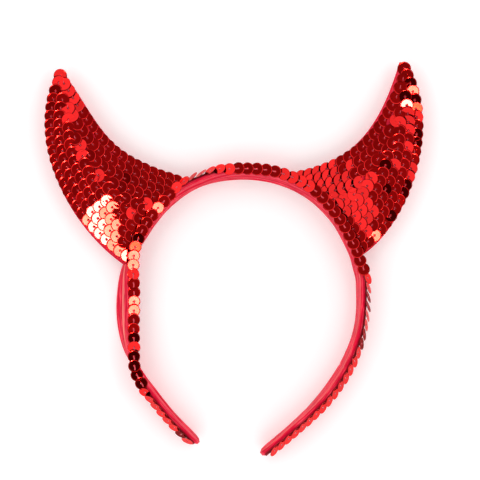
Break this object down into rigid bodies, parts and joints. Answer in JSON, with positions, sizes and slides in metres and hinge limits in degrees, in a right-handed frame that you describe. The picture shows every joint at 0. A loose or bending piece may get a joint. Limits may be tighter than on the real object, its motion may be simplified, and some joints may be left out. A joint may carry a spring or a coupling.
{
  "type": "devil horns headband",
  "caption": "Satin covered headband with a string of overlapping sequins along its front edge and two padded, sequined devil horns.",
  "frame": {"origin": "middle of the outline on the surface that the headband lies on, under the rear edge of the band and the backs of the horns", "axes": "+Z out of the sequined front, +Y from the band's tips to the horn tips, +X to the right as seen from the front"},
  "size_m": [0.1846, 0.1923, 0.0141],
  "materials": {
    "satin": "red satin stretched round the band, with fine lengthwise wrinkles",
    "sequin": "metallic red sequins, glossy",
    "felt": "plain red fabric of the padded horns"
  },
  "bodies": {
    "root": {"headband": "satin", "sequin_trim": "sequin", "horn_left": "felt", "horn_right": "felt", "horn_sequins_left": "sequin", "horn_sequins_right": "sequin"}
  },
  "joints": []
}
